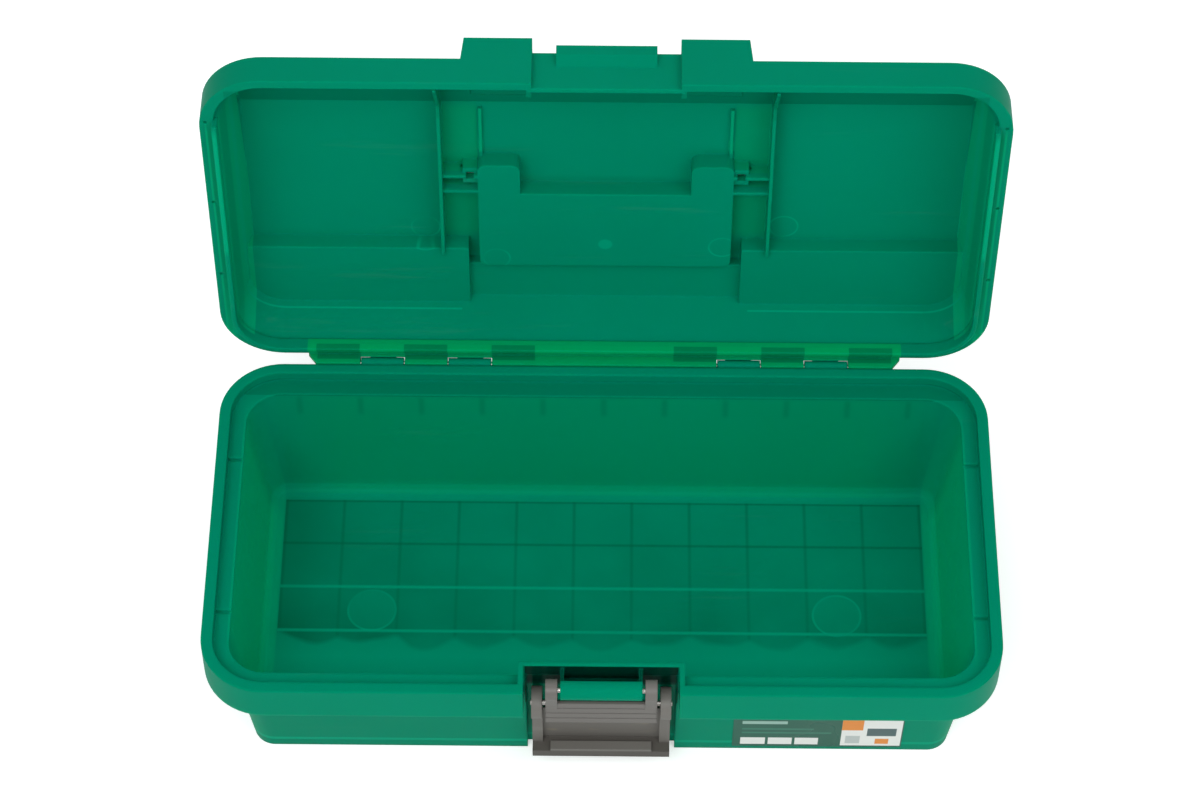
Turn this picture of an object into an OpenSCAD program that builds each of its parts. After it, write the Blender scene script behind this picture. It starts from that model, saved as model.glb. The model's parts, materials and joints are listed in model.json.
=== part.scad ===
// Plastic carrying box with a hinged lid, a draw latch and a handle that folds into the lid.
// Millimetres, +Z up, +X to the right, the latch at the front (-Y). The origin is the middle
// of the face that the base rests on. The lid is drawn open, the handle folded, the latch hanging.

/* [Case] */
// Length of the rim, side to side
case_l = 350; // [330:5:380]
// Depth of the rim, front to back
case_w = 176.2; // [170:0.1:200]
// Height of the base, resting face to rim
base_h = 77; // [72:1:95]
// Wall thickness of the mouldings
wall = 2.2; // [1.8:0.1:2.6]
// Outer corner radius of the rim
corner_r = 28; // [26:1:34]
// Height of the skirt round the base
skirt_h = 19.7; // [18.5:0.1:21]

/* [Lid] */
// Height of the lid above the rim
lid_h = 32.2; // [31:0.1:36]
// Height of the skirt round the lid
lid_skirt_h = 15; // [13:0.5:16]
// Opening angle of the lid, measured from shut
lid_open = 94; // [90:0.5:100]
// Diameter of the hinge pins
hinge_pin_d = 2.5; // [2:0.1:3]

/* [Handle] */
// Overall length of the carrying handle
handle_l = 109; // [100:1:110]
// Width of the grip bar
grip_w = 22; // [18:1:24]
// Thickness of the handle
handle_t = 8; // [7:0.5:8]

/* [Latch] */
// Width of the lever
lever_w = 48.6; // [46:0.2:50]
// Width of the hook frame
bail_w = 61; // [60.4:0.2:62.4]
// Diameter of the two latch pins
latch_pin_d = 2.4; // [2:0.1:2.6]

/* [Label] */
// Width of the label
label_w = 76; // [50:1:80]
// Height of the label
label_h = 30; // [25:1:36]

/* [Hidden] */
$fn = 64;

green = "#007d5f";
grey = "#6e6a64";
steel = "#b9bbbd";

// fits and gaps
fit_run = 0.06;     // radial clearance of a pin that turns
fit_tight = 0.01;   // radial clearance of a pin that stays put
seat_gap = 0.2;     // between the rim and the shut lid
hook_gap = 0.2;     // between the hook and the strike it pulls on
handle_gap = 0.5;   // between the folded handle and its recess
eps = 0.01;         // overlap of cuts with the faces they cross

// rim of the base
half_w = case_w / 2;
ridge_w = 5;        // ridge that the lid seats on
ledge_drop = 5.5;   // ledge below the ridge
ledge_in = 11.8;    // rim's outer face to the opening, at the sides
ledge_more = 1.3;   // and this much more at the front and back
groove_w = 1.6;     // grooves across the side ledges
groove_deep = 1.2;
groove_at = [38.1, -43.8];

// tub of the base
tub_l = case_l - 2 * ledge_in;
tub_w = case_w - 2 * (ledge_in + ledge_more);
tub_r = corner_r - ledge_in;
tub_slope = 0.12;   // how far the wall leans in for each millimetre down
tub_foot = tub_slope * (base_h - ledge_drop);
floor_up = 7;       // resting face to the inside floor
floor_t = 2.4;
floor_fillet = 6;   // round between the walls and the floor
fillet_steps = 4;
rib_t = 1.5;
cell_x = 27;        // cells of the rib lattice under the floor
cell_y = 24;
lattice_gap = 3;
cells_x = floor((tub_l / 2 - tub_foot - lattice_gap) * 2 / cell_x);
cells_y = floor((tub_w / 2 - tub_foot - lattice_gap) * 2 / cell_y);
gate_pad_r = 8;

// gussets between the skirt and the tub
gusset_pitch = 28;
gusset_h = 9;
gusset_in = 7;      // how far they run into the tub's wall
gussets_x = floor((case_l / 2 - corner_r) / gusset_pitch);
gussets_y = floor((half_w - corner_r) / gusset_pitch);

// bay in the front of the base that holds the latch
bay_half = 34;
bay_in = 3.6;       // how far the wall stands back in the bay

// hinge
hinge_back = 3.1;   // axis behind the rim
hinge_drop = 3;     // axis below the rim plane
hinge_y = half_w + hinge_back;
knuckle_r = 2.7;
knuckle_clear = 3.1;
knuckle_gap = 0.4;
knuckles = 5;       // on each side, the odd ones on the lid
hinge_from = 31.8;
hinge_end = 42.8;   // from the hinges to the ends of the box
hinge_to = case_l / 2 - hinge_end;
knuckle_pitch = (hinge_to - hinge_from) / knuckles;
web_root = 1;       // how far the knuckles' webs reach into the skirt
web_step = 1.5;
base_web = [-11, -12];
lid_web = [3.4, 11.2, 12];
leaf_gap = 0.3;     // leaf of the lid behind the rim of the base
leaf_t = 2;
leaf_low = 5.5;     // how far the leaf reaches below the rim plane
leaf_high = 6;
leaf_over = 2.2;    // and where it ends above the base's knuckles
leaf_ear = 4;       // sloping ends of the leaf
leaf_clear = 4;     // room for the leaf as it turns
stop_half = 6;      // stops that the open lid leans on
stop_out = 12;
stop_w = 4.6;
stop_top = 3.3;     // top of the stops below the rim plane

// lid, in its shut place, heights above the rim plane
front = -half_w;    // distances along the lid are measured from here
band_w = 5.7;       // flat band round the lid's opening
band_front = 3.6;   // and along the front
tongue_w = 2;
tongue_h = 4;
tongue_from = 24;   // the tongue leaves out the front and its corners
dimple_r = 0.9;     // marks on the band
dimple_at = [-63, -13, 34];
dome_r = corner_r - band_w;
dome_slope = 0.28;  // how far the lid's wall leans in for each millimetre up
slope_from = 6.5;   // the front slope starts this far behind the front
slope_run = 33.4;
roof_in = lid_h - wall;
deck_from = 130;    // the lower rear decks start this far from the front
deck_h = lid_h - 8;
middle_h = lid_h - 4.5;             // roof between the decks, behind the handle
post_in = 32;       // guard posts beside the latch
post_out = 61.5;
post_lean = 2.4;    // how far their outer sides spread at the skirt
post_back = 32;
post_h = lid_h - 4.4;
rib_low = lid_h - 12.2;             // the lid's ribs reach down to this height
lid_gusset_pitch = 44;
lid_gusset_in = 10;
lid_gusset_drop = 3;
rib_from = 7;       // front edge of the long ribs, sloping back to rib_back
rib_back = 34;
notch_rib_from = 9;
low_rib_h = 1.6;
low_rib_from = 44;

// handle and its recess, distances from the front of the lid
grip_to = 133.5;
handle_pivot_d = 81.5;
handle_pivot_h = lid_h - handle_t / 2;
handle_end_r = handle_t / 2;
handle_arm_w = 13.5;
grip_r = 6;
scoop_deep = 4.5;   // hollow on the under side of the grip
scoop_end = 17;
scoop_side = 3;
scoop_rib_pitch = 24;
scoop_root = 0.5;   // how far the ribs in the hollow reach into the grip
handle_pin_d = 4;
handle_pin_in = 8;  // how far the pin reaches into the arm
handle_pin_short = 0.4;
pan_side = 2.5;     // room round the handle, with the wall of the recess
pan_arm_side = 2.8;
pan_arm_back = 8.6;
pan_fingers = 20.5; // and room for the fingers behind the grip
pan_back = 5;
pan_r = 4;
pan_half = handle_l / 2 + pan_side;
pan_arm_in = handle_l / 2 - handle_arm_w - pan_arm_side;
pan_arm_from = handle_pivot_d - pan_arm_back;
pan_grip_from = grip_to - grip_w - pan_fingers;
pan_to = grip_to + pan_back;
pan_low = lid_h - handle_t - handle_gap - wall;     // inside face of the recess floor
pin_seat = 9;       // boss of the handle pin beside the recess
pin_post = 6.7;
pin_window = [3.6, 4.3];            // opening in the boss, across and along
pin_window_in = 1.6;
cross_rib_from = 1.2;               // first cross rib ahead of the handle pins
cross_rib_pitch = 9.5;
rib_side = 16.5;    // long ribs on both sides of the recess
rib_x = pan_half + rib_side;
middle_side = 7.2;
middle_half = pan_half + middle_side;

// strike bar and latch notch on the lid
notch_back = 3;     // latch notch stands back from the skirt
notch_h = 21.8;
notch_to = 24;
strike_half = 21.7;
strike_from = 13.3;
strike_full = 17.9;
strike_top = 23.6;
strike_lip = 2.2;
strike_root = 0.5;

// latch, places across and heights from the rim plane
lever_axis = [front + 5.2, -5];
bail_axis = [front + 6.7, -17.6];
lug_half = 17.8;
lug_r = 4.4;
lug_cheek = 1.5;
lug_root = 1;       // how far the cheeks reach into the wall
lug_web_drop = 7;
lug_web_t = 1.6;
lug_web = [0.85, 0.95];             // where the web meets the cheek's round end
ear_w = 5.2;
ear_r = 4.8;
ear_low_r = 3.6;
lever_front = front + 0.5;
lever_top = -11;
lever_low = -24.8;
lever_t = 3;
lever_chamfer = 1;
steps = 4;
step_out = 0.35;
step_bevel = 0.7;
bail_r = 7.2;
arm_w = 4.7;
arm_front = -9.4;   // from the bail's axis, latch shut
arm_back = -4.7;
arm_up = 14;
rail_from = strike_top + hook_gap - bail_axis[1];
rail_h = 5.5;
rail_to = rail_from + rail_h;
rail_back = 0.2;
rail_bevel = 1.2;
lip_h = 1.7;
lip_half = 22.5;
lip_at = strike_lip + hook_gap - (bail_axis[0] - front);
plate_from = 17;
plate_t = 1.8;
plate_rise = 2;
pin_out = 0.5;      // the lower latch pin stands out of the frame by this much
pin_short = 0.2;

// label on the front wall
label_x = 97;
label_t = 0.2;
label_gap = 0.02;
label_low = 3;

// ---- shapes that repeat ----

// flat rectangle with rounded corners
module round_rect(l, w, r) {
    square([l - 2 * r, w], center = true);
    square([l, w - 2 * r], center = true);
    for (x = [-1, 1], y = [-1, 1])
        translate([x * (l / 2 - r), y * (w / 2 - r)])
            circle(r);
}

// upright block with rounded corners from height low to high
module block(l, w, r, low, high) {
    translate([0, 0, low])
        linear_extrude(high - low)
            round_rect(l, w, r);
}

// outline in Y and Z, drawn out along X between two places
module along_x(from, to) {
    translate([from, 0, 0])
        rotate([90, 0, 90])
            linear_extrude(to - from)
                children();
}

// same, on both sides of the middle
module both_sides() {
    children();
    mirror([1, 0, 0])
        children();
}

// round bar along X, at a place in Y and Z
module rod(r, from, to, at) {
    translate([from, at[0], at[1]])
        rotate([0, 90, 0])
            cylinder(r = r, h = to - from);
}

// a length in whole thousandths
function neat(v) = round(v * 1000) / 1000;

// both walls of a body, from pairs of inset and height along one wall
function both_walls(half, profile) = [
    for (p = profile) [half - p[0], p[1]],
    for (n = [len(profile) - 1 : -1 : 0]) [profile[n][0] - half, profile[n][1]]
];

// round-cornered body, its walls set in along a profile of inset and height
module moulded(l, w, r, profile) {
    rotate([90, 0, 0])
        linear_extrude(w - 2 * r, center = true)
            polygon(both_walls(l / 2, profile));
    rotate([90, 0, 90])
        linear_extrude(l - 2 * r, center = true)
            polygon(both_walls(w / 2, profile));
    for (x = [-1, 1], y = [-1, 1])
        translate([x * (l / 2 - r), y * (w / 2 - r)])
            rotate_extrude()
                polygon([
                    [0, profile[0][1]], for (p = profile) [r - p[0], p[1]],
                    [0, profile[len(profile) - 1][1]]
                ]);
}

// box between two opposite corners
module span(a, b) {
    translate(a)
        cube(b - a);
}

// upright box centred in plan, from height low to high
module slab(l, w, low, high) {
    translate([-l / 2, -w / 2, low])
        cube([l, w, high - low]);
}

// ---- base ----

// how far the tub's wall stands in at a height below the rim
function tub_in(z) = neat(-tub_slope * (z + ledge_drop));

// profile of the tub's wall between two heights
function tub_wall(high, low) = [[tub_in(high), high], [tub_in(low), low]];

// the tub's wall, then a quarter circle in straight steps round to the floor
function hollow_wall(high, low) = [
    [tub_in(high), high],
    for (n = [0 : fillet_steps]) [
        tub_in(low + floor_fillet) + neat(floor_fillet * (1 - cos(90 * n / fillet_steps))),
        low + neat(floor_fillet * (1 - sin(90 * n / fillet_steps)))
    ]
];

// solid of the tub along a profile, grown outwards by grow, its front stood back in the latch bay
module tub(profile, grow, half) {
    difference() {
        moulded(tub_l + 2 * grow, tub_w + 2 * grow, tub_r + grow, profile);
        along_x(-half, half)
            polygon([
                [-half_w, profile[0][1]],
                for (p = profile) [-tub_w / 2 - grow + bay_in + p[0], p[1]],
                [-half_w, profile[len(profile) - 1][1]]
            ]);
    }
}

// distance from the middle to the wall in the latch bay, at a height below the rim
function bay_y(z, grow) = tub_w / 2 + grow - bay_in - tub_in(z);

module rim_and_skirt() {
    difference() {
        block(case_l, case_w, corner_r, -skirt_h, 0);
        // the inside of the skirt, below the ledge
        block(
            case_l - 2 * wall, case_w - 2 * wall, corner_r - wall,
            -skirt_h - eps, -ledge_drop - wall
        );
        // the ledge inside the ridge
        block(
            case_l - 2 * ridge_w, case_w - 2 * ridge_w, corner_r - ridge_w,
            -ledge_drop, eps
        );
        // the latch bay
        span(
            [-bay_half, -half_w - 1, -skirt_h - 1],
            [bay_half, -tub_w / 2 + bay_in - wall, 1]
        );
    }
}

// thin plates that tie the skirt to the tub
module gussets() {
    low = -ledge_drop - wall - gusset_h;
    high = -ledge_drop - eps;
    for (n = [-gussets_x : gussets_x], y = [-1, 1])
        if (y > 0 || abs(n * gusset_pitch) > bay_half)
            translate([n * gusset_pitch, y * (half_w - wall + tub_w / 2 - gusset_in) / 2])
                slab(rib_t, half_w - tub_w / 2 + gusset_in, low, high);
    for (n = [-gussets_y : gussets_y], x = [-1, 1])
        translate([x * (case_l / 2 - wall + tub_l / 2 - gusset_in) / 2, n * gusset_pitch])
            slab(case_l / 2 - tub_l / 2 + gusset_in, rib_t, low, high);
}

// rib lattice that stands under the floor
module floor_ribs() {
    low = -base_h;
    high = -base_h + floor_up - floor_t / 2;
    grid_l = cells_x * cell_x;
    grid_w = cells_y * cell_y;
    for (n = [0 : cells_x])
        span(
            [-grid_l / 2 + n * cell_x - rib_t / 2, -grid_w / 2, low],
            [-grid_l / 2 + n * cell_x + rib_t / 2, grid_w / 2, high]
        );
    for (n = [0 : cells_y])
        span(
            [-grid_l / 2 - rib_t / 2, -grid_w / 2 + n * cell_y - rib_t / 2, low],
            [grid_l / 2 + rib_t / 2, -grid_w / 2 + n * cell_y + rib_t / 2, high]
        );
    // pad round the gate of the moulding
    translate([0, 0, low])
        cylinder(r = gate_pad_r, h = high - low);
}

// where knuckle number n lies along X
function knuckle_from(n) = hinge_from + n * knuckle_pitch + knuckle_gap / 2;
function knuckle_to(n) = hinge_from + (n + 1) * knuckle_pitch - knuckle_gap / 2;

// knuckles of the base, with the stops that the open lid leans on
module base_knuckles() {
    root = half_w - web_root;
    top = -stop_top;
    for (n = [1, 3]) {
        rod(knuckle_r, knuckle_from(n), knuckle_to(n), [hinge_y, -hinge_drop]);
        along_x(knuckle_from(n), knuckle_to(n))
            polygon([
                [root, -hinge_drop], [root, base_web[1]], [half_w + web_step, base_web[0]],
                [hinge_y + knuckle_r, -hinge_drop], [hinge_y, -hinge_drop]
            ]);
        middle = (knuckle_from(n) + knuckle_to(n)) / 2;
        along_x(middle - stop_half, middle + stop_half)
            polygon([
                [root, base_web[0] + stop_w], [root, base_web[1]],
                [half_w + stop_out / 2, base_web[0]],
                [half_w + stop_out, top - stop_w / 2], [half_w + stop_out, top],
                [half_w + stop_out - stop_w, top],
                [half_w + stop_out - stop_w - web_step, top - stop_w / 2]
            ]);
    }
}

// barrel on the front that carries the lever's pin, with its cheeks and web
module lug() {
    back = tub_w / 2 - bay_in + lug_root;
    web_z = lever_axis[1] - lug_web_drop;
    rod(lug_r, -lug_half, lug_half, lever_axis);
    for (x = [-lug_half, lug_half - lug_cheek])
        span(
            [x, lever_axis[0], lever_axis[1] - lug_r],
            [x + lug_cheek, -back, lever_axis[1] + lug_r - lug_root]
        );
    along_x(-lug_half, lug_half)
        polygon([
            [lever_axis[0] + lug_r / 4, lever_axis[1] - lug_r * lug_web[0]],
            [lever_axis[0] - lug_r / 4, lever_axis[1] - lug_r * lug_web[1]],
            [-back, web_z - lug_web_t],
            [-back, web_z]
        ]);
}

module base_tray() {
    color(green)
        translate([0, 0, base_h])
            difference() {
                union() {
                    difference() {
                        union() {
                            rim_and_skirt();
                            gussets();
                            tub(tub_wall(-ledge_drop - wall / 2, -base_h), wall, bay_half - 1);
                        }
                        tub(hollow_wall(1, -base_h + floor_up), 0, bay_half + wall);
                        tub(
                            tub_wall(-base_h + floor_up - floor_t, -base_h - 1), 0,
                            bay_half + wall
                        );
                    }
                    bay_wall();
                    floor_ribs();
                    both_sides()
                        base_knuckles();
                    lug();
                }
                both_sides() {
                    // room for the lid's knuckles and leaf
                    for (n = [0, 2, 4])
                        rod(
                            leaf_clear, knuckle_from(n) - knuckle_gap,
                            knuckle_to(n) + knuckle_gap, [hinge_y, -hinge_drop]
                        );
                    // pin holes of the hinge
                    rod(
                        hinge_pin_d / 2 + fit_tight, hinge_from, hinge_to,
                        [hinge_y, -hinge_drop]
                    );
                }
                // room for the leaf between the two hinges and at its ends
                rod(
                    leaf_clear, -hinge_from - knuckle_gap, hinge_from + knuckle_gap,
                    [hinge_y, -hinge_drop]
                );
                both_sides()
                    rod(
                        leaf_clear, hinge_to - knuckle_gap,
                        hinge_to + leaf_ear + knuckle_gap, [hinge_y, -hinge_drop]
                    );
                // pin hole of the latch lug
                rod(latch_pin_d / 2 + fit_run, -lug_half - 1, lug_half + 1, lever_axis);
                ledge_grooves();
            }
}

// wall behind the latch, from the rim down to the tub
module bay_wall() {
    outer = bay_y(-ledge_drop, wall);
    along_x(-bay_half - wall, bay_half + wall)
        polygon([
            [-outer, 0], [-outer + wall, 0], [-outer + wall, -ledge_drop],
            [-bay_y(-skirt_h, 0), -skirt_h], [-bay_y(-skirt_h, wall), -skirt_h],
            [-outer, -ledge_drop]
        ]);
    for (x = [-bay_half - wall, bay_half])
        span([x, -half_w + 1, -skirt_h], [x + wall, -outer + wall / 2, 0]);
}

// short grooves across the side ledges
module ledge_grooves() {
    for (x = [-1, 1], y = groove_at)
        translate([x * (case_l / 2 - ridge_w + tub_l / 2 - 1) / 2, y])
            slab(
                case_l / 2 - ridge_w - tub_l / 2 + 1, groove_w,
                -ledge_drop - groove_deep, -ledge_drop + 1
            );
}

// ---- lid, drawn shut with its heights from the rim plane ----

// swings shut-lid geometry to where the lid stands
module opened() {
    translate([0, hinge_y, base_h - hinge_drop])
        rotate([-lid_open, 0, 0])
            translate([0, -hinge_y, hinge_drop])
                children();
}

// the lid's body, shrunk by inset on the walls and the roof
module dome(inset, low) {
    top = lid_h - inset;
    side = band_w - wall + inset;
    ahead = band_front - wall + inset;
    slope_at = front + slope_from + inset / 2;
    past = 5;       // cuts run this far past the body
    difference() {
        translate([0, (ahead - side) / 2, 0])
            moulded(
                case_l - 2 * side, case_w - side - ahead, dome_r + wall - inset,
                [[0, low], [neat(dome_slope * (lid_h - low)), lid_h]]
            );
        span([-case_l, -case_w, top], [case_l, case_w, lid_h + past]);
        // front slope
        translate([0, 0, -inset])
            along_x(-case_l, case_l)
                polygon([
                    [front - past, lid_skirt_h], [slope_at, lid_skirt_h],
                    [slope_at + slope_run, lid_h], [slope_at + slope_run, lid_h + past],
                    [front - past, lid_h + past]
                ]);
        // the two lower decks at the rear
        both_sides()
            span(
                [middle_half - inset, front + deck_from - inset, deck_h - inset],
                [case_l, case_w, lid_h + past]
            );
        // the roof between the decks, behind the handle
        span(
            [-middle_half - past, front + pan_to + past - inset, middle_h - inset],
            [middle_half + past, case_w, lid_h + past]
        );
    }
}

// U-shaped handle recess in plan, shrunk by inset
module pan_plan(inset) {
    back = front + pan_to - inset;
    grip_l = pan_to - pan_grip_from - 2 * inset;
    arm_l = pan_to - pan_arm_from - 2 * inset;
    arm_w = pan_half - pan_arm_in - 2 * inset;
    translate([0, back - grip_l / 2])
        round_rect(2 * (pan_half - inset), grip_l, pan_r - inset);
    for (x = [-1, 1])
        translate([x * (pan_half - inset - arm_w / 2), back - arm_l / 2])
            round_rect(arm_w, arm_l, pan_r - inset);
}

// guard posts beside the latch, shrunk by inset; their outer sides lean
module posts(inset, low) {
    both_sides()
        translate([0, front + post_back, 0])
            rotate([90, 0, 0])
                linear_extrude(post_back - inset)
                    polygon([
                        [post_in + inset, low], [post_out + post_lean - inset, low],
                        [post_out - inset, post_h - inset], [post_in + inset, post_h - inset]
                    ]);
}

// latch notch between the posts, shrunk by inset
module notch(inset, low) {
    span(
        [-post_in - wall, front + notch_back + inset, low],
        [post_in + wall, front + notch_to, notch_h - inset]
    );
}

// what the latch needs clear in front of the notch
module notch_space() {
    span([-post_in, front - 1, -tongue_h - 1], [post_in, front + notch_back, notch_h]);
}

// the lid's inside, which stops short of the wall behind the notch
module lid_hollow() {
    difference() {
        dome(wall, -1);
        span([-post_in - wall, front, -tongue_h], [post_in + wall, front + notch_back + wall, notch_h]);
    }
    posts(wall, seat_gap + wall);
    notch(wall, -1);
}

// bar on the lid that the latch hooks over
module strike() {
    root = front + notch_back + strike_root;
    along_x(-strike_half, strike_half)
        polygon([
            [root, strike_from], [front + notch_back, strike_from], [front, strike_full],
            [front, strike_top], [front + strike_lip, strike_top],
            [front + strike_lip, notch_h], [root, notch_h - 2 * strike_root]
        ]);
}

// skirt, flat band and tongue round the lid's opening
module lid_rim() {
    inner = band_w + tongue_w;
    difference() {
        union() {
            difference() {
                block(case_l, case_w, corner_r, seat_gap, lid_skirt_h);
                block(
                    case_l - 2 * wall, case_w - 2 * wall, corner_r - wall,
                    seat_gap + wall, lid_skirt_h + 1
                );
                block(
                    case_l - 2 * inner, case_w - 2 * inner, corner_r - inner,
                    seat_gap - 1, seat_gap + wall + 1
                );
                front_opening(seat_gap - 1, seat_gap + wall + 1);
            }
            difference() {
                block(
                    case_l - 2 * band_w, case_w - 2 * band_w, corner_r - band_w,
                    -tongue_h, seat_gap + wall
                );
                block(
                    case_l - 2 * inner, case_w - 2 * inner, corner_r - inner,
                    -tongue_h - 1, seat_gap + wall + 1
                );
                front_opening(-tongue_h - 1, seat_gap + wall + 1);
            }
        }
        notch_space();
        // dimples in the band
        for (x = [-1, 1], y = dimple_at)
            translate([x * (case_l - band_w) / 2, y, seat_gap - eps])
                cylinder(r = dimple_r, h = wall / 2);
    }
}

// the opening along the front, where the band is narrower and there is no tongue
module front_opening(low, high) {
    intersection() {
        translate([0, (band_front - band_w) / 2, 0])
            block(case_l - 2 * band_w, case_w - band_w - band_front, dome_r, low, high);
        span([-case_l, front, low], [case_l, front + tongue_from, high]);
    }
}

// knuckles of the lid
module lid_knuckles() {
    root = half_w - web_root;
    for (n = [0, 2, 4]) {
        rod(knuckle_r, knuckle_from(n), knuckle_to(n), [hinge_y, -hinge_drop]);
        along_x(knuckle_from(n), knuckle_to(n))
            polygon([
                [root, lid_web[0]], [root, lid_web[2]], [half_w + web_step, lid_web[1]],
                [hinge_y + knuckle_r, -hinge_drop], [hinge_y, -hinge_drop],
                [half_w + leaf_gap, -leaf_low], [half_w + leaf_gap, lid_web[0]]
            ]);
    }
}

// thin leaf behind the rim, all along the hinges, cut away above the base's knuckles
module lid_leaf() {
    inside = half_w - web_root;
    difference() {
        union() {
            translate([0, half_w + leaf_gap + leaf_t, 0])
                rotate([90, 0, 0])
                    linear_extrude(leaf_t)
                        polygon([
                            [-hinge_to, -leaf_low], [hinge_to, -leaf_low],
                            [hinge_to + leaf_ear, seat_gap], [hinge_to + leaf_ear, leaf_high],
                            [-hinge_to - leaf_ear, leaf_high], [-hinge_to - leaf_ear, seat_gap]
                        ]);
            span(
                [-hinge_to - leaf_ear, inside, seat_gap],
                [hinge_to + leaf_ear, half_w + leaf_gap + eps, seat_gap + wall]
            );
            span(
                [-hinge_to - leaf_ear, inside, leaf_high - wall],
                [hinge_to + leaf_ear, half_w + leaf_gap + eps, leaf_high]
            );
        }
        both_sides()
            for (n = [1, 3])
                span(
                    [knuckle_from(n) - knuckle_gap, inside, -leaf_low - 1],
                    [knuckle_to(n) + knuckle_gap, hinge_y + leaf_clear, -leaf_over]
                );
    }
}

// gussets that tie the skirt to the body of the lid
module lid_gussets() {
    high = lid_skirt_h - lid_gusset_drop;
    long = lid_gusset_in - wall / 2;
    for (x = [-1, 1], n = [-1 : 1])
        translate([x * (case_l / 2 - (lid_gusset_in + wall / 2) / 2), n * lid_gusset_pitch])
            slab(long, rib_t, seat_gap + eps, high);
    for (n = [-3, -2, 2, 3], y = [-1, 1])
        translate([n * lid_gusset_pitch, y * (half_w - (lid_gusset_in + wall / 2) / 2)])
            slab(rib_t, long, seat_gap + eps, high);
}

// stiffening ribs inside the lid
module lid_ribs() {
    intersection() {
        dome(wall / 2, 0);
        both_sides() {
            // long ribs from the front wall to the step
            along_x(rib_x - rib_t / 2, rib_x + rib_t / 2)
                polygon([
                    [front + band_w, 1], [front + rib_from, 1], [front + rib_back, rib_low],
                    [front + deck_from, rib_low], [front + deck_from, lid_h],
                    [front + band_w, lid_h]
                ]);
            // plates behind the notch's sides
            along_x(post_in, post_in + wall)
                polygon([
                    [front + band_w, 1], [front + notch_rib_from, 1],
                    [front + notch_to, notch_h],
                    [front + notch_to, lid_h], [front + band_w, lid_h]
                ]);
            // low ribs from the recess to the front
            span(
                [pan_half - wall, front + low_rib_from, roof_in - low_rib_h],
                [pan_half - wall + rib_t, front + pan_arm_from + wall, lid_h]
            );
            // cross ribs between the long ribs and the recess
            for (n = [0, 1])
                translate([
                    (pan_half + rib_x - 1) / 2,
                    front + handle_pivot_d - cross_rib_from + n * cross_rib_pitch
                ])
                    slab(rib_x - pan_half + 1, rib_t, rib_low + rib_t, lid_h);
        }
    }
}

// boxes that carry the outer ends of the handle pins
module pin_bosses() {
    y = front + handle_pivot_d;
    both_sides()
        span(
            [pan_half - wall, y - pin_seat / 2, handle_pivot_h - pin_seat / 2],
            [pan_half + pin_post, y + pin_seat / 2, lid_h - wall / 2]
        );
}

// openings in those boxes, which leave the pins in sight from within
module pin_windows() {
    x = pan_half + pin_window_in;
    y = front + handle_pivot_d;
    both_sides()
        span(
            [x, y - pin_window[1] / 2, handle_pivot_h - pin_seat],
            [x + pin_window[0], y + pin_window[1] / 2, handle_pivot_h]
        );
}

module shut_lid() {
    floor_h = pan_low + wall;
    difference() {
        union() {
            difference() {
                union() {
                    dome(0, seat_gap);
                    posts(0, seat_gap);
                    notch(0, seat_gap);
                    lid_gussets();
                }
                lid_hollow();
                notch_space();
            }
            lid_rim();
            lid_ribs();
            strike();
            lid_leaf();
            both_sides()
                lid_knuckles();
            // outside of the handle recess, seen from within
            translate([0, 0, pan_low])
                linear_extrude(roof_in - pan_low + eps)
                    pan_plan(0);
            pin_bosses();
        }
        // handle recess
        translate([0, 0, floor_h])
            linear_extrude(lid_h - floor_h + 1)
                pan_plan(wall);
        pin_windows();
        both_sides() {
            rod(
                hinge_pin_d / 2 + fit_run, hinge_from - 1, hinge_to + 1,
                [hinge_y, -hinge_drop]
            );
            rod(
                handle_pin_d / 2 + fit_tight, handle_l / 2 - handle_pin_in,
                pan_half + pin_post + 1, [front + handle_pivot_d, handle_pivot_h]
            );
        }
        // room for the base's knuckles
        both_sides()
            for (n = [1, 3])
                rod(
                    knuckle_clear, knuckle_from(n) - knuckle_gap,
                    knuckle_to(n) + knuckle_gap, [hinge_y, -hinge_drop]
                );
    }
}

module lid() {
    color(green)
        opened()
            shut_lid();
}

// ---- handle ----

// handle lying in its recess
module folded_handle() {
    y = front + handle_pivot_d;
    low = lid_h - handle_t;
    grip_y = front + grip_to - grip_w / 2;
    difference() {
        union() {
            // arms
            both_sides() {
                rod(
                    handle_end_r, handle_l / 2 - handle_arm_w, handle_l / 2,
                    [y, handle_pivot_h]
                );
                span(
                    [handle_l / 2 - handle_arm_w, y, low],
                    [handle_l / 2, front + grip_to - grip_r, lid_h]
                );
            }
            // grip bar with rounded outer corners, hollow on its under side
            difference() {
                translate([0, grip_y, low])
                    linear_extrude(handle_t)
                        round_rect(handle_l, grip_w, grip_r);
                translate([0, grip_y, low - eps])
                    linear_extrude(scoop_deep)
                        round_rect(
                            handle_l - 2 * scoop_end, grip_w - 2 * scoop_side,
                            grip_r - scoop_side / 2
                        );
            }
            // ribs in the hollow of the grip
            for (n = [-1 : 1])
                translate([n * scoop_rib_pitch, grip_y])
                    slab(rib_t, grip_w - scoop_side, low + rib_t / 2, low + scoop_deep + scoop_root);
        }
        both_sides()
            rod(
                handle_pin_d / 2 + fit_run, handle_l / 2 - handle_pin_in - handle_gap,
                handle_l / 2 + 1, [y, handle_pivot_h]
            );
    }
}

module carry_handle() {
    color(grey)
        opened()
            folded_handle();
}

module handle_pin() {
    rod(
        handle_pin_d / 2, handle_l / 2 - handle_pin_in,
        pan_half + pin_post - handle_pin_short, [front + handle_pivot_d, handle_pivot_h]
    );
}

module handle_pin_right() {
    color(steel)
        opened()
            handle_pin();
}

module handle_pin_left() {
    color(steel)
        opened()
            mirror([1, 0, 0])
                handle_pin();
}

// ---- hinge pins ----

module hinge_pin() {
    translate([0, 0, base_h])
        rod(
            hinge_pin_d / 2, hinge_from + knuckle_gap, hinge_to - knuckle_gap,
            [hinge_y, -hinge_drop]
        );
}

module hinge_pin_right() {
    color(steel)
        hinge_pin();
}

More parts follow.
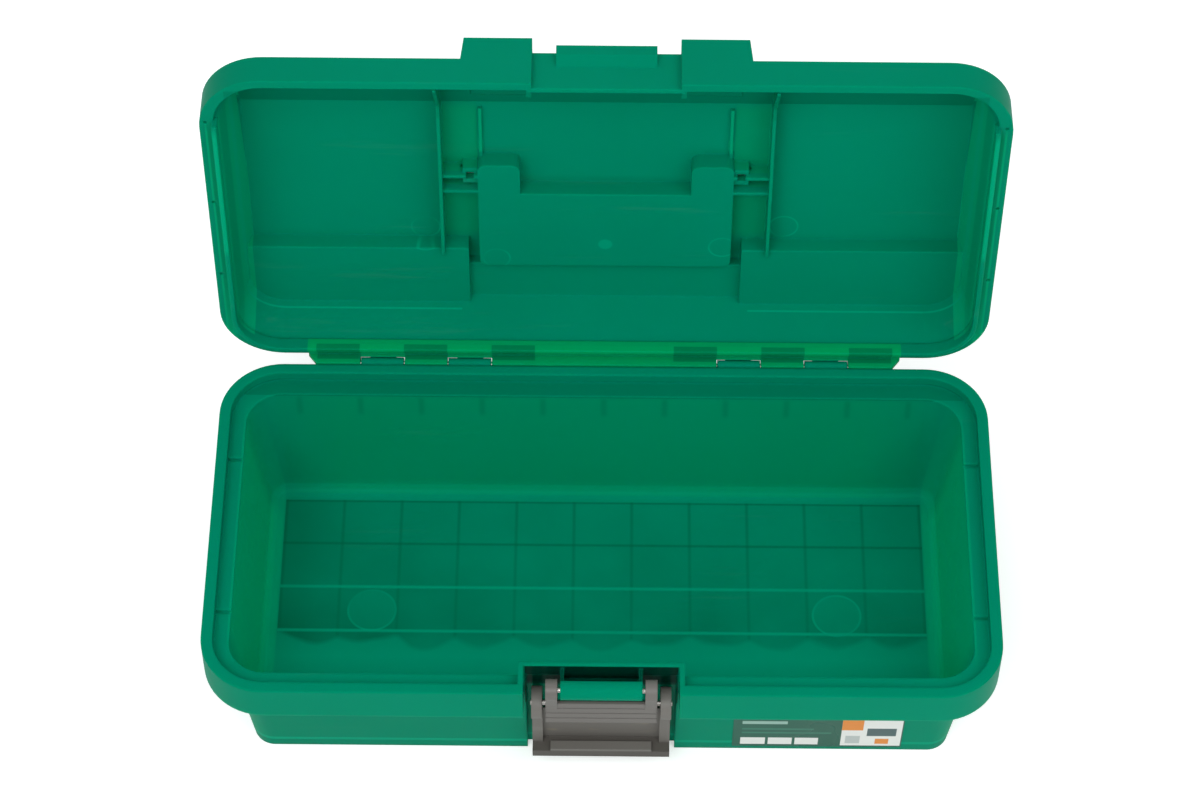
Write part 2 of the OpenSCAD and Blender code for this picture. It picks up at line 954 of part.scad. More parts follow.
module hinge_pin_left() {
    color(steel)
        mirror([1, 0, 0])
            hinge_pin();
}

// ---- latch ----

// ears and stepped finger plate of the lever, latch shut
module lever_body() {
    half = lever_w / 2;
    both_sides() {
        rod(ear_r, half - ear_w, half, lever_axis);
        rod(ear_low_r, half - ear_w, half, bail_axis);
        along_x(half - ear_w, half)
            polygon([
                [lever_axis[0] - ear_r, lever_axis[1]],
                [lever_axis[0] + ear_r, lever_axis[1]],
                [bail_axis[0] + ear_low_r, bail_axis[1]],
                [bail_axis[0], bail_axis[1] - ear_low_r],
                [lever_front + lever_t, lever_low],
                [lever_front + lever_chamfer, lever_low],
                [lever_front + lever_chamfer, lever_top - lever_chamfer]
            ]);
    }
    step_h = (lever_top - lever_low) / steps;
    for (n = [0 : steps - 1])
        along_x(-half, half)
            polygon([
                [lever_front + lever_t, lever_top - n * step_h],
                [lever_front + (steps - n) * step_out, lever_top - n * step_h],
                [
                    lever_front + (steps - n - 1) * step_out,
                    lever_top - (n + 1) * step_h + step_bevel
                ],
                [lever_front + (steps - n) * step_out, lever_top - (n + 1) * step_h],
                [lever_front + lever_t, lever_top - (n + 1) * step_h]
            ]);
}

module latch_lever() {
    half = lever_w / 2;
    color(grey)
        translate([0, 0, base_h])
            difference() {
                lever_body();
                rod(latch_pin_d / 2 + fit_tight, -half - 1, half + 1, lever_axis);
                rod(latch_pin_d / 2 + fit_run, -half - 1, half + 1, bail_axis);
            }
}

// the frame as it stands when the latch is shut, measured from its own axis
module shut_bail() {
    half = bail_w / 2;
    toe = bail_r * [0.8, 0.6];
    heel = bail_r * [-0.9, -0.4];
    difference() {
        union() {
            both_sides() {
                rod(bail_r, half - arm_w, half, [0, 0]);
                along_x(half - arm_w, half)
                    polygon([
                        [arm_front, rail_to], [arm_back, rail_to], [arm_back, arm_up],
                        toe, [0, 0], heel, [arm_front, bail_r]
                    ]);
            }
            // plate between the arms
            along_x(-half + 1, half - 1)
                polygon([
                    [arm_front, plate_from + plate_rise], [arm_front + plate_t, plate_from],
                    [arm_front + plate_t, rail_to], [arm_front, rail_to]
                ]);
            // hook rail with its lip
            along_x(-half, half)
                polygon([
                    [arm_front, rail_from], [rail_back, rail_from],
                    [rail_back, rail_to - rail_bevel], [rail_back - rail_bevel, rail_to],
                    [arm_front + rail_bevel, rail_to], [arm_front, rail_to - rail_bevel]
                ]);
            along_x(-lip_half, lip_half)
                polygon([
                    [lip_at, rail_from + 1], [lip_at, rail_from - lip_h],
                    [rail_back, rail_from - lip_h], [rail_back, rail_from + 1]
                ]);
        }
        rod(latch_pin_d / 2 + fit_run, -half - 1, half + 1, [0, 0]);
    }
}

module latch_bail() {
    color(grey)
        translate([0, bail_axis[0], base_h + bail_axis[1]])
            rotate([180, 0, 0])
                shut_bail();
}

module lever_pin() {
    half = lever_w / 2;
    color(steel)
        translate([0, 0, base_h])
            rod(latch_pin_d / 2, -half + pin_short, half - pin_short, lever_axis);
}

module bail_pin() {
    half = bail_w / 2 + pin_out;
    color(steel)
        translate([0, 0, base_h])
            rod(latch_pin_d / 2, -half, half, bail_axis);
}

// ---- label ----

// thin sticker that lies on the leaning front wall
module label() {
    lean = atan(tub_slope);
    top_y = -tub_w / 2 - wall + tub_slope * (base_h - ledge_drop - label_low);
    color("darkgreen")
        translate([label_x - label_w / 2, top_y, label_low])
            rotate([lean, 0, 0])
                translate([0, -label_t - label_gap, 0])
                    cube([label_w, label_t, label_h]);
}

base_tray();
lid();
carry_handle();
latch_lever();
latch_bail();
lever_pin();
bail_pin();
hinge_pin_left();
hinge_pin_right();
handle_pin_left();
handle_pin_right();
label();
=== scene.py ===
"""Looks of a green plastic carrying box: softened edges, plastics with painted light and shade,
steel pins, sticker.
"""
import json
import math

import bmesh
import bpy
from mathutils import Matrix, Vector

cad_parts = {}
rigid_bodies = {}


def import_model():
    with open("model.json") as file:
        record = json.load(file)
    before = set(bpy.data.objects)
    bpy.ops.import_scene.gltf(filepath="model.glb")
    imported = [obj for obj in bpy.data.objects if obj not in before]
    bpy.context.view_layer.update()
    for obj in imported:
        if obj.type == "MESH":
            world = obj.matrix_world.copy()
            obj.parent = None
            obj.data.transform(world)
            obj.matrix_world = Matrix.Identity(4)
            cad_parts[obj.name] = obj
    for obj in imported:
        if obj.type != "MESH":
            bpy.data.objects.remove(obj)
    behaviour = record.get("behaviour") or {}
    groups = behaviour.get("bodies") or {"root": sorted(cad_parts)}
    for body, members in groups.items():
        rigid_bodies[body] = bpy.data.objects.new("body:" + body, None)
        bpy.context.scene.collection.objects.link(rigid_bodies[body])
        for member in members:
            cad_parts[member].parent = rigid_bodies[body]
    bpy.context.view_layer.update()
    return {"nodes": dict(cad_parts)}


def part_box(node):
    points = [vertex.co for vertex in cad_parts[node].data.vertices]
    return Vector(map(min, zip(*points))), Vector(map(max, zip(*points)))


# ---------------------------------------------------------------- frame
for leftover in list(bpy.data.objects):
    bpy.data.objects.remove(leftover)
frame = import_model()
nodes = frame["nodes"]

MM_PER_M = 1000.0


# ---------------------------------------------------------------- colours
def linear(red, green, blue):
    """Linear colour of a screen colour, whose values run from 0 to 255."""
    out = []
    for value in (red / 255, green / 255, blue / 255):
        out.append(value / 12.92 if value < 0.04045 else ((value + 0.055) / 1.055) ** 2.4)
    return (*out, 1.0)


GREEN = linear(0, 138, 106)
GREEN_CLOUD = linear(0, 133, 101)
# the next four colours are painted light and shade: a painted shade, painted highlights, a
# painted glow and painted light through thin walls
PAINTED_SHADE = linear(0, 98, 70)
PAINTED_LIGHT = linear(0, 160, 124)
GLOW = linear(0, 166, 92)
LIT_THROUGH = linear(0, 168, 118)
# painted shadow for the inside of the latch's bay
PAINTED_SHADOW = linear(0, 26, 20)
SCRATCH = linear(205, 214, 205)
STEEL = linear(205, 203, 198)
STEEL_SPOT = linear(128, 112, 92)
# painted shade for the hook rail
RAIL_SHADE = linear(74, 70, 65)
WORN = linear(150, 140, 112)
WHITE = (1, 1, 1, 1)
GREEN_SHINE = (0.12, 1.0, 0.8, 1)

# ---------------------------------------------------------------- node tools
MIX_FACTOR, MIX_A, MIX_B, MIX_RESULT = 0, 6, 7, 2  # a Mix node's colour sockets
MIDDLE = (0.3, 0.7)  # the middle values of a noise, stretched to give soft clouds
SOFT = 0.3  # width of a mask's edge, mm
EDGE_SAMPLES = 4


class Nodes:
    """Short ways to add and link the nodes of a material or of the world."""

    def __init__(self, block):
        block.use_nodes = True
        self.tree = block.node_tree

    def feed(self, socket, value):
        """Link the value to the socket, or set it where it is a number or a colour."""
        if isinstance(value, bpy.types.NodeSocket):
            self.tree.links.new(value, socket)
        else:
            socket.default_value = value

    def fill(self, node, inputs):
        for key, value in inputs.items():
            self.feed(node.inputs[key], value)

    def add(self, kind, inputs=None, **settings):
        """A new node with its settings made and its inputs fed."""
        node = self.tree.nodes.new("ShaderNode" + kind)
        for key, value in settings.items():
            setattr(node, key, value)
        self.fill(node, inputs or {})
        return node

    def calc(self, operation, *values):
        return self.add("Math", dict(enumerate(values)), operation=operation).outputs[0]

    def span(self, value, source, target=(0.0, 1.0)):
        """Stretch the range source to the range target, and hold the value at both ends."""
        return self.add("MapRange", {
            "Value": value, "From Min": source[0], "From Max": source[1],
            "To Min": target[0], "To Max": target[1]}).outputs["Result"]

    def seen(self, by_light, by_camera):
        """One value for the light's own rays, another for what the camera sees directly."""
        ray = self.add("LightPath").outputs["Is Camera Ray"]
        return self.span(ray, (0.0, 1.0), (by_light, by_camera))


class Surface(Nodes):
    """A material with a colour that is painted in layers, and masks to paint it through.

    The light that comes through thin walls from behind is painted in as glow: a painted colour
    and emission.
    """

    def __init__(self, name):
        self.mat = bpy.data.materials.new(name)
        super().__init__(self.mat)
        self.tree.nodes.clear()
        self.shader = self.add("BsdfPrincipled")
        self.add("OutputMaterial", {"Surface": self.shader.outputs[0]})
        self.coord = self.add("TexCoord").outputs["Object"]
        self.place = {}
        self.colour = WHITE
        self.glow = 0.0

    def noise(self, scale, detail, rough, stretch=(1, 1, 1), at=(0, 0, 0)):
        """Values from 0 to 1 that vary over the piece."""
        moved = self.add("Mapping", {"Vector": self.coord, "Scale": stretch, "Location": at})
        return self.add("TexNoise", {"Vector": moved.outputs[0], "Scale": scale, "Detail": detail,
                                     "Roughness": rough}).outputs["Fac"]

    def mix(self, factor, a, b):
        node = self.add("Mix", {MIX_FACTOR: factor, MIX_A: a, MIX_B: b}, data_type="RGBA")
        return node.outputs[MIX_RESULT]

    def paint(self, shade, *masks):
        """Lay a shade over the colour, as strongly as the product of the masks."""
        self.colour = self.mix(self.both(*masks), self.colour, shade)

    def find_place(self):
        """Name the place on the piece at rest: x, y and z in mm, and wide, the size of x."""
        scaled = self.add("VectorMath", {0: self.coord, "Scale": MM_PER_M}, operation="SCALE")
        axes = self.add("SeparateXYZ", {0: scaled.outputs[0]}).outputs
        self.place.update(x=axes[0], y=axes[1], z=axes[2], wide=self.calc("ABSOLUTE", axes[0]))

    def below(self, value, limit, soft=SOFT):
        """One up to the limit, falling to nought over soft."""
        return self.span(value, (limit, limit + soft), (1.0, 0.0))

    def near(self, value, centre, half, soft=SOFT):
        gap = self.calc("ABSOLUTE", self.calc("SUBTRACT", value, centre))
        return self.below(gap, half, soft)

    def between(self, value, low, high, soft=SOFT):
        return self.near(value, (low + high) / 2, (high - low) / 2, soft)

    def lines(self, value, first, pitch, half, soft):
        """One on evenly spaced lines."""
        gap = self.calc("PINGPONG", self.calc("SUBTRACT", value, first), pitch / 2)
        return self.below(gap, half, soft)

    def region(self, limits, **soft):
        """One between the limits on each named axis; soft gives the edges that aren't SOFT."""
        return self.both(*(self.between(self.place[axis], low, high, soft.get(axis, SOFT))
                           for axis, (low, high) in limits.items()))

    def distance(self, a, b, at):
        """Distance of the values a and b from a point."""
        squares = (self.calc("POWER", self.calc("SUBTRACT", value, centre), 2.0)
                   for value, centre in zip((a, b), at))
        return self.calc("SQRT", self.calc("ADD", *squares))

    def joined(self, operation, masks):
        out = masks[0]
        for mask in masks[1:]:
            out = self.calc(operation, out, mask)
        return out

    def both(self, *masks):
        return self.joined("MULTIPLY", masks)

    def either(self, *masks):
        return self.joined("MAXIMUM", masks)

    def soft_edges(self, radius):
        return self.add("Bevel", {"Radius": radius}, samples=EDGE_SAMPLES).outputs[0]

    def bump(self, height, strength, distance, normal):
        return self.add("Bump", {"Height": height, "Strength": strength, "Distance": distance,
                                 "Normal": normal}).outputs[0]


# ---------------------------------------------------------------- materials
def painted_edge_highlights(m, soft, strength):
    """Painted highlights: thin bright lines along the edges, standing in for the light the
    plastic gathers there.
    """
    true = m.add("NewGeometry").outputs["True Normal"]
    bend = m.add("VectorMath", {0: soft, 1: true}, operation="DOT_PRODUCT").outputs["Value"]
    m.paint(PAINTED_LIGHT, m.span(bend, (0.8, 0.98), (strength, 0.0)))


def plastic(name, colour, cloud_colour, rough, edge, marks=None, scratched=0.0, fine=0.25,
            shine=0.5, tint=WHITE, ior=1.45, rim=0.0, light_inside=0.0):
    """Moulded plastic: cloudy colour, light scratches, marks with painted light and shade,
    painted edge highlights and glow, soft edges and a fine grain.
    """
    m = Surface(name)
    cloud = m.noise(scale=9.0, detail=2.0, rough=0.5)
    grain = m.noise(scale=1900.0, detail=2.0, rough=0.6)
    wave = m.noise(scale=34.0, detail=1.0, rough=0.4, at=(3, 1, 2))
    scuff = m.noise(scale=90.0, detail=4.0, rough=0.7, stretch=(0.08, 1.0, 1.0), at=(7, 2, 5))
    scratches = m.span(scuff, (0.62, 0.72))
    m.colour = m.mix(m.span(cloud, MIDDLE), cloud_colour, colour)
    m.paint(SCRATCH, scratches, scratched)
    if marks is not None:
        m.find_place()
        marks(m)
    soft = m.soft_edges(edge)
    # painted highlights along the edges
    if rim:
        painted_edge_highlights(m, soft, rim)
    slow = m.bump(wave, strength=0.12, distance=0.0006, normal=soft)
    m.fill(m.shader, {
        "Base Color": m.colour,
        "Specular IOR Level": shine,
        "Specular Tint": tint,
        "IOR": ior,
        "Roughness": m.calc("ADD", m.span(wave, MIDDLE, (rough - 0.05, rough + 0.05)),
                            m.both(scratches, 0.12)),
        "Normal": m.bump(grain, strength=fine, distance=0.00005, normal=slow),
        # painted glow: emission stands in for light that comes through thin walls
        "Emission Color": GLOW,
        "Emission Strength": m.glow,
        "Subsurface Weight": light_inside,
        "Subsurface Radius": (0.15, 1.0, 0.45),
        "Subsurface Scale": 0.006})
    return m.mat


def steel(name):
    """Drawn steel wire: bright, with fine lines along the pin and small dark marks."""
    m = Surface(name)
    drawn = m.noise(scale=700.0, detail=3.0, rough=0.6, stretch=(0.03, 1.0, 1.0))
    spots = m.noise(scale=160.0, detail=3.0, rough=0.6, at=(2, 8, 1))
    m.fill(m.shader, {
        "Base Color": m.mix(m.span(spots, (0.55, 0.75)), STEEL, STEEL_SPOT),
        "Metallic": 0.9,
        "Roughness": m.span(drawn, MIDDLE, (0.22, 0.42)),
        "Normal": m.bump(drawn, strength=0.25, distance=0.00006, normal=m.soft_edges(0.0003))})
    return m.mat


# ---------------------------------------------------------------- marks on the base
# Places are in mm on the piece at rest: x along the hinge, y to the back, z up, wide the
# distance from the middle in x. Softness is the width of an edge, in mm.
FLOOR_FACE = {"z": (6.0, 8.2)}
FLOOR_HALF, FLOOR_REAR = 149.0, 60.0
CELL_X, CELL_Y = 27.0, 24.0
FIRST_RIB_X, FIRST_RIB_Y = -148.5, -12.0
CELL_BOW, CELL_FRONT = 5.0, (-17.0, -11.0)
CELLS_Y = (-16.0, FLOOR_REAR)
# zones where a painted shade or painted light grows or fades
FRONT_LIGHT_Y = (-26.0, -12.0)
LEFT_SHADE_X = (-140.0, -40.0)
DARK_RIBS_Y = (18.0, 30.0)
LIGHT_RIBS_FRONT, LIGHT_RIBS_REAR = (-16.0, -15.0), (10.0, 20.0)
FLOOR_EJECTORS, FLOOR_EJECTOR_R = ((108.1, -1.9), (-106.1, -0.8)), 11.0
WALL_LEAN = 0.12
WALLS_Z = (9.0, 69.0)
END_WALLS = {"z": WALLS_Z, "lean": (149.0, 155.2), "y": (-50.0, 50.0)}
REAR_WALL = {"z": WALLS_Z, "y": (64.0, 74.8), "x": (-120.0, 120.0)}
GUSSET_PITCH = 28.0
GUSSETS = {"z": (60.0, 68.0), "y": (70.0, 77.0)}
LEDGE = {"z": (70.5, 72.5), "y": (74.5, 83.0)}
LATCH_BAY = {"x": (-33.4, 33.4), "y": (-80.4, -72.6), "z": (48.0, 76.4)}
BESIDE_LEVER = {"wide": (18.2, 33.4), "y": (-84.0, -72.6), "z": (60.0, 76.4)}


def floor_marks(m):
    """Painted light and shade: the ribs under the floor show through it as painted shade and
    painted highlights, the cells get painted shade, and its two round ejector marks get painted
    highlights.
    """
    x, y = m.place["x"], m.place["y"]
    cloud = m.noise(scale=26.0, detail=2.0, rough=0.5, at=(1, 4, 2))
    face = m.region(FLOOR_FACE, z=0.2)
    # painted light on the floor near the front
    m.paint(PAINTED_LIGHT, face, m.span(y, FRONT_LIGHT_Y, (0.85, 0.15)))

    # the cells between the ribs, which get painted shade, end in shallow, uneven curves near the
    # front
    along = m.calc("PINGPONG", m.calc("SUBTRACT", x, FIRST_RIB_X), CELL_X / 2)
    bow = m.calc("SINE", m.calc("MULTIPLY", along, math.pi / CELL_X))
    curve = m.calc("ADD", m.calc("MULTIPLY", bow, -CELL_BOW), m.span(cloud, MIDDLE, CELL_FRONT))
    floor_area = m.both(face, m.near(x, 0.0, FLOOR_HALF), m.below(y, FLOOR_REAR, 0.8))
    cells = m.both(floor_area, m.span(m.calc("SUBTRACT", y, curve), (-2.0, 1.0)))

    # painted shade in the cells, stronger towards the front and on the left
    shade = m.both(m.span(y, CELLS_Y, (0.42, 0.16)), m.span(cloud, MIDDLE, (0.5, 1.3)))
    m.paint(PAINTED_SHADE, cells, m.calc("ADD", shade, m.span(x, LEFT_SHADE_X, (0.25, 0.0))))
    # painted shade along the ribs under the floor, seen through it
    ribs_x = m.lines(x, FIRST_RIB_X, CELL_X, 0.2, 1.0)
    m.paint(PAINTED_SHADE, cells, ribs_x, m.span(y, CELLS_Y, (0.3, 0.5)))
    dark_ribs_y = m.lines(y, FIRST_RIB_Y, CELL_Y, 0.2, 0.9)
    m.paint(PAINTED_SHADE, floor_area, dark_ribs_y, m.span(y, DARK_RIBS_Y, (0.0, 0.6)))
    # painted highlights along the cross ribs near the front
    light_ribs_y = m.lines(y, FIRST_RIB_Y, CELL_Y, 0.3, 0.9)
    m.paint(PAINTED_LIGHT, floor_area, light_ribs_y, m.span(y, LIGHT_RIBS_REAR, (0.8, 0.0)),
            m.span(y, LIGHT_RIBS_FRONT))

    # painted highlights on the two round ejector marks
    for centre in FLOOR_EJECTORS:
        far = m.distance(x, y, centre)
        m.paint(PAINTED_LIGHT, floor_area, m.below(far, FLOOR_EJECTOR_R - 0.4, 0.6), 0.22)
        m.paint(PAINTED_LIGHT, floor_area, m.near(far, FLOOR_EJECTOR_R, 0.2, 0.5),
                m.span(cloud, (0.4, 0.6), (0.1, 0.7)))


def wall_marks(m):
    """Painted light and shade: the end walls get painted light and a painted glow where light
    comes through, the rear wall a painted glow, and the gussets behind it and the ledge painted
    shade.
    """
    m.place["lean"] = m.calc("SUBTRACT", m.place["wide"],
                             m.calc("MULTIPLY", m.place["z"], WALL_LEAN))
    ends = m.region(END_WALLS, z=4.0, lean=0.8, y=22.0)
    # painted light and painted glow through the end walls
    m.paint(LIT_THROUGH, ends, 0.7)
    m.glow = m.both(ends, 0.09)
    # painted glow on the rear wall
    m.paint(GLOW, m.region(REAR_WALL, z=4.0, y=0.4, x=40.0), 0.22)
    # painted shade of the gussets, seen through the rear wall
    gusset_lines = m.lines(m.place["x"], 0.0, GUSSET_PITCH, 0.5, 1.6)
    m.paint(PAINTED_SHADE, gusset_lines, m.region(GUSSETS, z=3.0), 0.3)
    # painted shade on the ledge
    m.paint(PAINTED_SHADE, m.region(LEDGE), 0.45)


def base_marks(m):
    floor_marks(m)
    wall_marks(m)
    # painted shadow: the latch's bay is painted dark inside, where shade falls
    bay = m.either(m.region(LATCH_BAY, x=0.2), m.region(BESIDE_LEVER, wide=0.2, y=1.0))
    m.paint(PAINTED_SHADOW, bay, 0.9)


# ---------------------------------------------------------------- marks on the lid
HINGE_STRIP = {"z": (73.5, 87.0), "y": (87.5, 97.0), "x": (-136.0, 136.0)}
KNUCKLES, KNUCKLE_HALF = (41.8, 82.0, 122.2), 9.8
TONGUE = {"z": (82.0, 85.6), "y": (88.0, 94.2)}
KNUCKLE_WEB = {"z": (73.5, 82.6), "y": (91.6, 97.0)}
LEAF_THINS_Z = (80.0, 86.0)
FRONT_SLOPE = {"z": (210.5, 246.0), "y": (106.0, 140.0), "x": (-163.0, 163.0)}
LID_ENDS = {"wide": (160.5, 172.5), "y": (95.6, 131.0), "z": (80.0, 222.0)}
# painted stripes of light and shade on the end walls: place, half width, strength, shade
STRIPES = ((170.9, 0.6, 0.5, PAINTED_SHADE), (168.6, 0.5, 0.5, PAINTED_LIGHT),
           (166.0, 0.8, 0.3, PAINTED_SHADE), (163.4, 0.3, 0.6, PAINTED_LIGHT))
STRIPES_GROW_Z = (100.0, 130.0)
LONG_RIBS, RIB_ROOT_Y = {"wide": (72.5, 74.5), "z": (128.0, 241.0)}, (100.0, 124.0)
LOW_RIBS = {"wide": (54.5, 56.7), "z": (180.0, 210.0), "y": (120.0, 132.0)}
BETWEEN_RIBS = {"wide": (57.3, 72.6), "z": (128.0, 205.0), "y": (126.0, 140.0)}
DECK_STEP, STEP_FADES_Z = {"y": (113.3, 113.9), "wide": (66.0, 170.0)}, (95.0, 125.0)
GATE, GATE_R, GATE_FACE = (0.0, 127.8), 2.8, {"y": (112.0, 124.0)}
# ejector marks: place in x and z, radius
LID_EJECTORS = (((-49.3, 118.0), 6.0), ((53.0, 126.4), 6.0), ((80.9, 131.0), 6.5),
                ((-81.6, 129.0), 6.5))
LID_FACE = {"y": (100.0, 135.0)}


def hinge_marks(m):
    """Painted light: the thin hinge leaf gets painted light and glow where light comes through
    it, and the knuckles and their webs get painted shade instead.
    """
    strip = m.region(HINGE_STRIP)
    # painted light through the thin hinge leaf
    m.paint(GLOW, strip, 0.7)
    knuckles = m.either(*(m.near(m.place["wide"], middle, KNUCKLE_HALF) for middle in KNUCKLES))
    tongue = m.region(TONGUE, z=0.1, y=0.1)
    webs = m.both(knuckles, m.either(m.region(KNUCKLE_WEB), tongue))
    # painted shade on the knuckles and their webs
    m.paint(PAINTED_SHADE, webs, 0.5)
    # painted glow of the light through the leaf
    through = m.calc("ADD", m.span(m.place["z"], LEAF_THINS_Z, (0.012, 0.005)),
                     m.both(tongue, 0.05))
    m.glow = m.both(strip, through, m.calc("SUBTRACT", 1.0, webs))


def lid_wall_marks(m):
    """Painted shade on the front slope, and painted light through the end walls with painted
    stripes of light and shade along them.
    """
    m.paint(PAINTED_SHADE, m.region(FRONT_SLOPE, z=1.0), 0.4)
    ends = m.region(LID_ENDS, z=6.0)
    # painted light through the end walls
    m.paint(LIT_THROUGH, ends, 0.7)
    # painted stripes of light and shade
    for middle, half, strength, shade in STRIPES:
        m.paint(shade, ends, m.near(m.place["wide"], middle, half, 0.5),
                m.span(m.place["z"], STRIPES_GROW_Z, (0.2, strength)))


def lid_panel_marks(m):
    """Painted light: ribs and the room between them are painted as lit from behind, and a step, a
    gate and ejector rings get painted highlights.
    """
    x, y, z = m.place["x"], m.place["y"], m.place["z"]
    # painted light through the ribs and the room between them
    m.paint(LIT_THROUGH, m.region(LONG_RIBS), m.span(y, RIB_ROOT_Y, (0.2, 0.15)))
    m.paint(LIT_THROUGH, m.region(LOW_RIBS), 0.6)
    m.paint(GLOW, m.region(BETWEEN_RIBS, z=6.0), 0.22)
    # painted highlights on the deck step, the gate and the ejector rings
    m.paint(PAINTED_LIGHT, m.region(DECK_STEP), m.span(z, STEP_FADES_Z, (0.8, 0.0)))
    m.paint(PAINTED_LIGHT, m.below(m.distance(x, z, GATE), GATE_R, 0.8), m.region(GATE_FACE), 0.7)
    patchy = m.noise(scale=60.0, detail=1.0, rough=0.5, at=(2, 2, 7))
    broken = m.span(patchy, (0.4, 0.6), (0.0, 0.8))
    for centre, radius in LID_EJECTORS:
        ring = m.near(m.distance(x, z, centre), radius, 0.15, 0.5)
        m.paint(PAINTED_LIGHT, m.region(LID_FACE, y=1.0), ring, broken)


def lid_marks(m):
    hinge_marks(m)
    lid_wall_marks(m)
    lid_panel_marks(m)


# ---------------------------------------------------------------- marks on the latch and label
HOOK_RAIL_TOP = 17.8
RUBBED = {"z": (24.0, 44.0), "x": (-24.0, 24.0)}


def bail_marks(m):
    """Painted shade makes the hook rail darker; the bail is worn where the lever's plate rubs."""
    # painted shade on the hook rail
    m.paint(RAIL_SHADE, m.below(m.place["z"], HOOK_RAIL_TOP, 1.2), 0.85)
    wear = m.noise(scale=220.0, detail=2.0, rough=0.6, stretch=(0.3, 1.0, 1.0))
    m.paint(WORN, m.region(RUBBED, z=2.0, x=1.0), m.span(wear, (0.6, 0.7), (0.0, 0.35)))


LABEL_CORNER = [v * MM_PER_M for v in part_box("label")[0]]
PALE = linear(236, 238, 234)
ORANGE = linear(232, 140, 46)
TEAL = linear(40, 120, 98)
# blocks on the label: left, right, low and high in mm from its lower left corner, shade
LABEL_BLOCKS = (
    (3.6, 14.6, 2.4, 9.4, PALE), (16.0, 26.6, 2.4, 9.4, PALE), (28.0, 38.4, 2.4, 9.4, PALE),
    (4.0, 24.0, 24.0, 27.0, linear(150, 190, 176)),
    (4.0, 44.0, 14.0, 15.4, TEAL), (4.0, 36.0, 18.0, 19.4, TEAL),
    (48.6, 75.4, 1.6, 29.4, PALE), (48.6, 58.0, 18.0, 29.4, ORANGE),
    (60.0, 73.0, 12.0, 20.0, linear(70, 96, 98)), (64.0, 70.0, 3.6, 9.0, ORANGE),
    (50.6, 57.0, 4.0, 12.0, linear(190, 198, 196)))


def label_marks(m):
    """Sticker with blank pale boxes and blocks of plain colour, without any writing."""
    m.place["across"] = m.calc("SUBTRACT", m.place["x"], LABEL_CORNER[0])
    m.place["up"] = m.calc("SUBTRACT", m.place["z"], LABEL_CORNER[2])
    for left, right, low, high, shade in LABEL_BLOCKS:
        block = {"across": (left, right), "up": (low, high)}
        m.paint(shade, m.region(block, across=0.1, up=0.1))


# ---------------------------------------------------------------- materials of the nodes
GREEN_PLASTIC = {"colour": GREEN, "cloud_colour": GREEN_CLOUD, "scratched": 0.01,
                 "tint": GREEN_SHINE, "ior": 1.2, "rim": 0.35, "light_inside": 0.3}
GREY_PLASTIC = {"edge": 0.0006, "fine": 0.35}
base_green = plastic("green_plastic_base", rough=0.33, edge=0.0016, marks=base_marks, shine=0.1,
                     **GREEN_PLASTIC)
lid_green = plastic("green_plastic_lid", rough=0.36, edge=0.0012, marks=lid_marks, shine=0.12,
                    **GREEN_PLASTIC)
lever_grey = plastic("grey_plastic_lever", linear(112, 109, 105), linear(105, 102, 98),
                     rough=0.4, scratched=0.05, **GREY_PLASTIC)
bail_grey = plastic("grey_plastic_bail", linear(114, 111, 106), linear(107, 104, 99),
                    rough=0.5, scratched=0.08, marks=bail_marks, **GREY_PLASTIC)
pin_steel = steel("steel")
label_paper = plastic("label_green", linear(4, 92, 72), linear(2, 86, 66), rough=0.3,
                      edge=0.0001, marks=label_marks, shine=0.3)

# every node that isn't named here is a pin
NODE_MATERIALS = {
    "base_tray": base_green, "lid": lid_green, "carry_handle": bail_grey,
    "latch_lever": lever_grey, "latch_bail": bail_grey, "label": label_paper}
for name, obj in nodes.items():
    material = NODE_MATERIALS.get(name, pin_steel)
    for slot in obj.material_slots:
        slot.material = material
    if not obj.material_slots:
        obj.data.materials.append(material)

# ---------------------------------------------------------------- camera
# fitted to the rims of base and lid in the photo
ELEVATION, YAW, ROLL = (math.radians(v) for v in (53.9948, -0.1194, -0.3928))
CAMERA_AT = (0.0002707, -0.9126023, 1.4279396)
PHOTO_WIDTH_PX, FOCAL_PX = 1200, 3655.597
SENSOR_WIDTH = 36

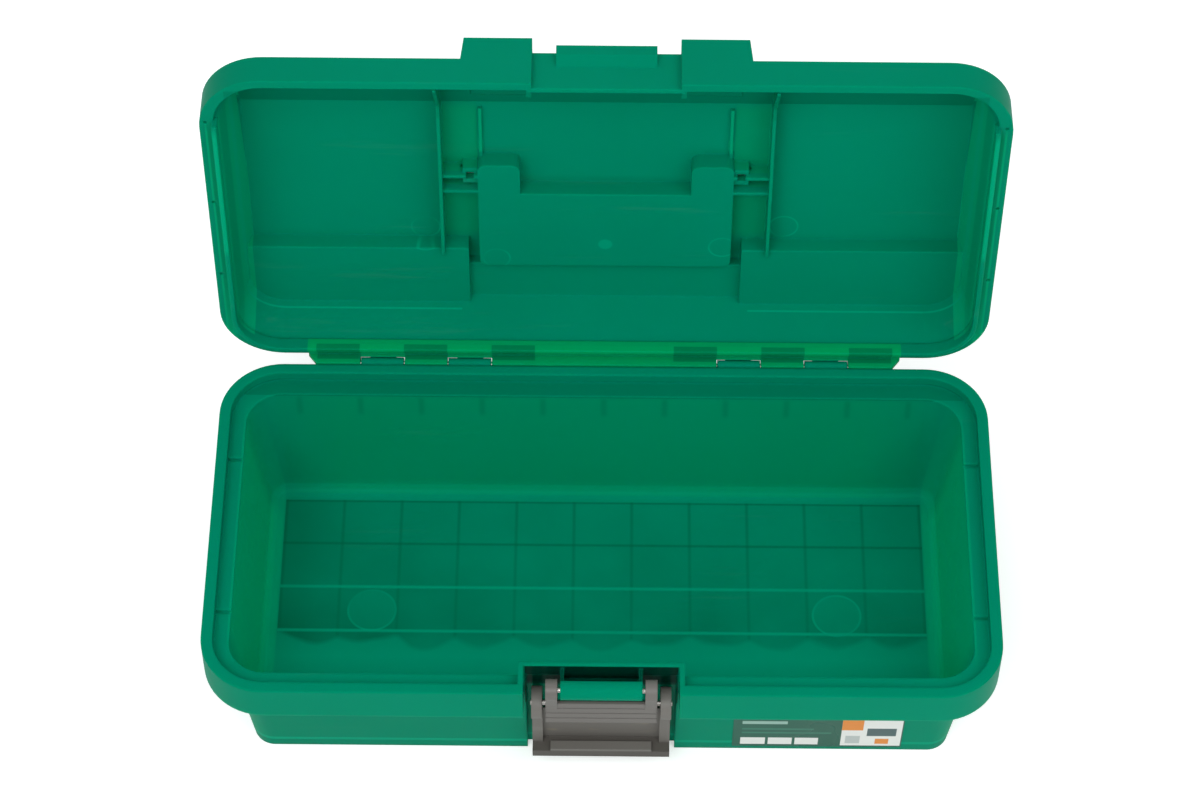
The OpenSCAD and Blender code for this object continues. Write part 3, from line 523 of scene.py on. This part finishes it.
camera = bpy.data.objects.new("camera", bpy.data.cameras.new("camera"))
bpy.context.scene.collection.objects.link(camera)
camera.data.sensor_width = SENSOR_WIDTH
camera.data.lens = FOCAL_PX / PHOTO_WIDTH_PX * SENSOR_WIDTH
ahead = Vector((math.sin(YAW) * math.cos(ELEVATION), math.cos(YAW) * math.cos(ELEVATION),
                -math.sin(ELEVATION)))
level = Vector((math.cos(YAW), -math.sin(YAW), 0))
above = level.cross(ahead)
right = math.cos(ROLL) * level - math.sin(ROLL) * above
up = math.cos(ROLL) * above + math.sin(ROLL) * level
pose = Matrix((right, up, -ahead)).transposed().to_4x4()
pose.translation = Vector(CAMERA_AT)
camera.matrix_world = pose
bpy.context.scene.camera = camera

# ---------------------------------------------------------------- light and floor
# strength for the light's own rays, and as the camera sees it
SKY_LIGHT, SKY_SEEN = 0.56, 1.0
GROUND_LIGHT, GROUND_SEEN = 0.0, 0.45
GROUND_HALF = 8
LAMP_AIM = Vector((0, 0, 0.08))
LAMP_SIZE = 1.5

world = bpy.data.worlds.new("studio")
bpy.context.scene.world = world
world_nodes = Nodes(world)
world_nodes.fill(world_nodes.tree.nodes["Background"], {
    "Color": (0.97, 1.0, 1.0, 1), "Strength": world_nodes.seen(SKY_LIGHT, SKY_SEEN)})


def lamp(name, at, power):
    light = bpy.data.lights.new(name, "AREA")
    light.shape = "DISK"
    light.size = LAMP_SIZE
    light.energy = power
    holder = bpy.data.objects.new(name, light)
    holder.rotation_mode = "QUATERNION"
    holder.location = at
    holder.rotation_quaternion = (LAMP_AIM - Vector(at)).to_track_quat("-Z", "Y")
    bpy.context.scene.collection.objects.link(holder)


lamp("key", at=(-0.6, -1.4, 1.9), power=22)
lamp("fill", at=(1.1, -0.9, 1.7), power=10)

floor_mesh = bpy.data.meshes.new("floor")
bm = bmesh.new()
bmesh.ops.create_grid(bm, x_segments=1, y_segments=1, size=GROUND_HALF)
bm.to_mesh(floor_mesh)
bm.free()
floor = bpy.data.objects.new("floor", floor_mesh)
bpy.context.scene.collection.objects.link(floor)
ground = bpy.data.materials.new("ground")
ground_nodes = Nodes(ground)
ground_nodes.fill(ground_nodes.tree.nodes["Principled BSDF"], {
    "Base Color": (0.93, 0.93, 0.93, 1), "Roughness": 0.9, "Specular IOR Level": 0.1,
    "Emission Color": WHITE, "Emission Strength": ground_nodes.seen(GROUND_LIGHT, GROUND_SEEN)})
floor.data.materials.append(ground)

bpy.context.scene.view_settings.view_transform = "Standard"
